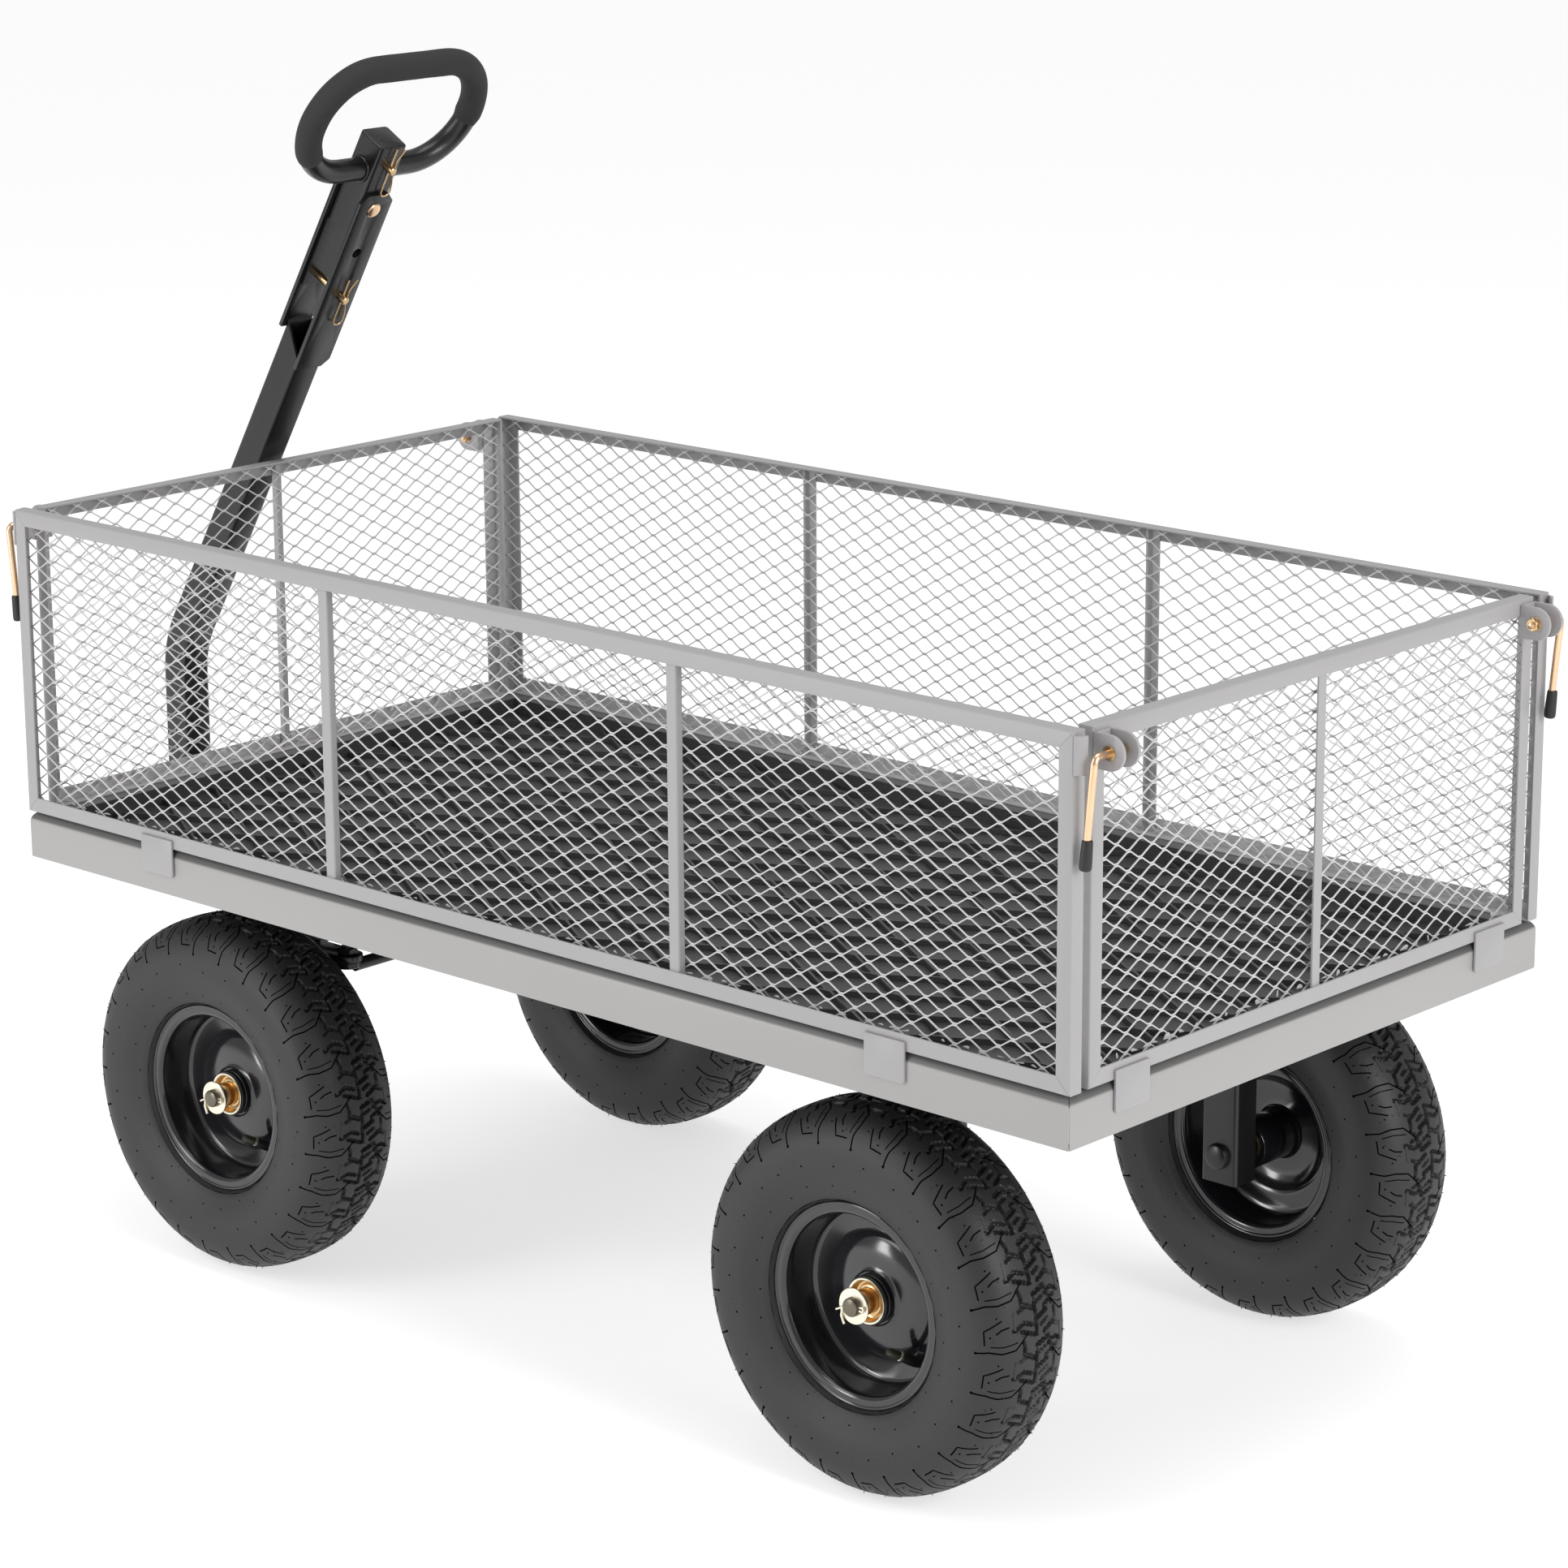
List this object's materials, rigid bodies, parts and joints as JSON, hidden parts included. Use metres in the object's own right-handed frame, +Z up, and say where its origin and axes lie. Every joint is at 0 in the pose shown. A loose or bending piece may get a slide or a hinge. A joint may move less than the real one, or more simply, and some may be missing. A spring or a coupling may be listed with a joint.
{
  "type": "mesh garden cart",
  "caption": "Pull-along garden cart: open steel mesh bed with lift-off sides, air-filled tyres, linked front-wheel steering and a bent pull handle that doubles as a tow hitch.",
  "frame": {"origin": "on the ground, under the middle of the whole cart's bounding box", "axes": "+X towards the rear, away from the pull handle; +Y towards the cart's right side; +Z up"},
  "size_m": [1.432, 0.633, 1.0835],
  "materials": {
    "skirt_paint": "satin warm light gray powder coat",
    "floor_paint": "satin charcoal powder coat",
    "panel_paint": "satin cool light gray powder coat",
    "mesh_paint": "satin cool light gray powder coat",
    "black_paint": "satin black powder coat",
    "zinc_fittings": "yellow zinc plated steel",
    "copper_plate": "copper-toned plated steel",
    "tip_rubber": "matte black rubber",
    "grip_foam": "matte black closed-cell foam",
    "tyre_rubber": "matte black rubber",
    "rim_paint": "gloss charcoal enamel",
    "hub_black": "satin black bearing seals and valve"
  },
  "bodies": {
    "bed": {"rail_left": "skirt_paint", "rail_right": "skirt_paint", "rail_front": "skirt_paint", "rail_rear": "skirt_paint", "bed_floor": "floor_paint", "bed_runners": "black_paint", "floor_straps": "black_paint", "front_beam": "black_paint", "rear_beam": "black_paint", "rear_legs": "black_paint", "tongue_mount": "black_paint", "frame_bolts": "zinc_fittings", "rear_axles": "zinc_fittings", "panel_front": "panel_paint", "mesh_front": "mesh_paint", "latch_brackets_front": "panel_paint"},
    "left_side": {"panel_left": "panel_paint", "mesh_left": "mesh_paint"},
    "right_side": {"panel_right": "panel_paint", "mesh_right": "mesh_paint"},
    "rear_gate": {"panel_rear": "panel_paint", "mesh_rear": "mesh_paint", "latch_brackets_rear": "panel_paint"},
    "steering_tongue": {"tongue": "black_paint", "handle_bolt": "zinc_fittings"},
    "left_knuckle": {"knuckle_left": "black_paint", "kingpin_left": "zinc_fittings", "axle_front_left": "zinc_fittings"},
    "right_knuckle": {"knuckle_right": "black_paint", "kingpin_right": "zinc_fittings", "axle_front_right": "zinc_fittings"},
    "drag_link": {"drag_link": "black_paint"},
    "tie_rod": {"tie_rod": "black_paint"},
    "pull_handle": {"handle_shaft": "black_paint", "hitch_bracket": "black_paint", "grip_tube": "black_paint", "grip_loop": "black_paint", "grip_foam": "grip_foam", "grip_rivet": "copper_plate", "hitch_pins": "zinc_fittings"},
    "lever_front_left": {"latch_lever_front_left": "copper_plate", "latch_tip_front_left": "tip_rubber"},
    "wheel_front_left": {"tyre_front_left": "tyre_rubber", "rim_front_left": "rim_paint", "wheel_fittings_front_left": "hub_black"},
    "lever_front_right": {"latch_lever_front_right": "copper_plate", "latch_tip_front_right": "tip_rubber"},
    "wheel_front_right": {"tyre_front_right": "tyre_rubber", "rim_front_right": "rim_paint", "wheel_fittings_front_right": "hub_black"},
    "lever_rear_left": {"latch_lever_rear_left": "copper_plate", "latch_tip_rear_left": "tip_rubber"},
    "wheel_rear_left": {"tyre_rear_left": "tyre_rubber", "rim_rear_left": "rim_paint", "wheel_fittings_rear_left": "hub_black"},
    "lever_rear_right": {"latch_lever_rear_right": "copper_plate", "latch_tip_rear_right": "tip_rubber"},
    "wheel_rear_right": {"tyre_rear_right": "tyre_rubber", "rim_rear_right": "rim_paint", "wheel_fittings_rear_right": "hub_black"}
  },
  "joints": [
    {"name": "left_side_lift", "type": "slide", "parent": "bed", "child": "left_side", "axis": [0, 0, 1], "range_m": [0, 0.32]},
    {"name": "right_side_lift", "type": "slide", "parent": "bed", "child": "right_side", "axis": [0, 0, 1], "range_m": [0, 0.32]},
    {"name": "rear_gate_lift", "type": "slide", "parent": "bed", "child": "rear_gate", "axis": [0, 0, 1], "range_m": [0, 0.32]},
    {"name": "tongue_yaw", "type": "hinge", "parent": "bed", "child": "steering_tongue", "pos_m": [-0.614, 0, 0.289], "axis": [0, 0, 1], "range_deg": [-30, 30]},
    {"name": "left_steer", "type": "hinge", "parent": "bed", "child": "left_knuckle", "pos_m": [-0.323, -0.195, 0.289], "axis": [0, 0, 1], "range_deg": [-30, 30]},
    {"name": "right_steer", "type": "hinge", "parent": "bed", "child": "right_knuckle", "pos_m": [-0.323, 0.195, 0.289], "axis": [0, 0, 1], "range_deg": [-30, 30]},
    {"name": "drag_link_turn", "type": "hinge", "parent": "steering_tongue", "child": "drag_link", "pos_m": [-0.614, 0.06, 0.282], "axis": [0, 0, 1], "range_deg": [-30, 30]},
    {"name": "tie_rod_turn", "type": "hinge", "parent": "left_knuckle", "child": "tie_rod", "pos_m": [-0.253, -0.195, 0.282], "axis": [0, 0, 1], "range_deg": [-30, 30]},
    {"name": "handle_drop", "type": "hinge", "parent": "steering_tongue", "child": "pull_handle", "pos_m": [-0.696, 0, 0.265], "axis": [0, -1, 0], "range_deg": [0, 115]},
    {"name": "lever_front_left_turn", "type": "hinge", "parent": "bed", "child": "lever_front_left", "pos_m": [-0.57, -0.28, 0.6632], "axis": [0, 1, 0], "range_deg": [0, 120]},
    {"name": "wheel_front_left_spin", "type": "hinge", "parent": "left_knuckle", "child": "wheel_front_left", "pos_m": [-0.323, -0.263, 0.165], "axis": [0, 1, 0], "continuous": true},
    {"name": "lever_front_right_turn", "type": "hinge", "parent": "bed", "child": "lever_front_right", "pos_m": [-0.57, 0.28, 0.6632], "axis": [0, 1, 0], "range_deg": [0, 120]},
    {"name": "wheel_front_right_spin", "type": "hinge", "parent": "right_knuckle", "child": "wheel_front_right", "pos_m": [-0.323, 0.263, 0.165], "axis": [0, 1, 0], "continuous": true},
    {"name": "lever_rear_left_turn", "type": "hinge", "parent": "rear_gate", "child": "lever_rear_left", "pos_m": [0.702, -0.28, 0.6632], "axis": [0, -1, 0], "range_deg": [0, 120]},
    {"name": "wheel_rear_left_spin", "type": "hinge", "parent": "bed", "child": "wheel_rear_left", "pos_m": [0.455, -0.263, 0.165], "axis": [0, 1, 0], "continuous": true},
    {"name": "lever_rear_right_turn", "type": "hinge", "parent": "rear_gate", "child": "lever_rear_right", "pos_m": [0.702, 0.28, 0.6632], "axis": [0, -1, 0], "range_deg": [0, 120]},
    {"name": "wheel_rear_right_spin", "type": "hinge", "parent": "bed", "child": "wheel_rear_right", "pos_m": [0.455, 0.263, 0.165], "axis": [0, 1, 0], "continuous": true}
  ],
  "couplings": [
    {"joint": "left_steer", "follows": "tongue_yaw", "ratio": 1},
    {"joint": "right_steer", "follows": "tongue_yaw", "ratio": 1},
    {"joint": "drag_link_turn", "follows": "tongue_yaw", "ratio": -1},
    {"joint": "tie_rod_turn", "follows": "tongue_yaw", "ratio": -1}
  ]
}
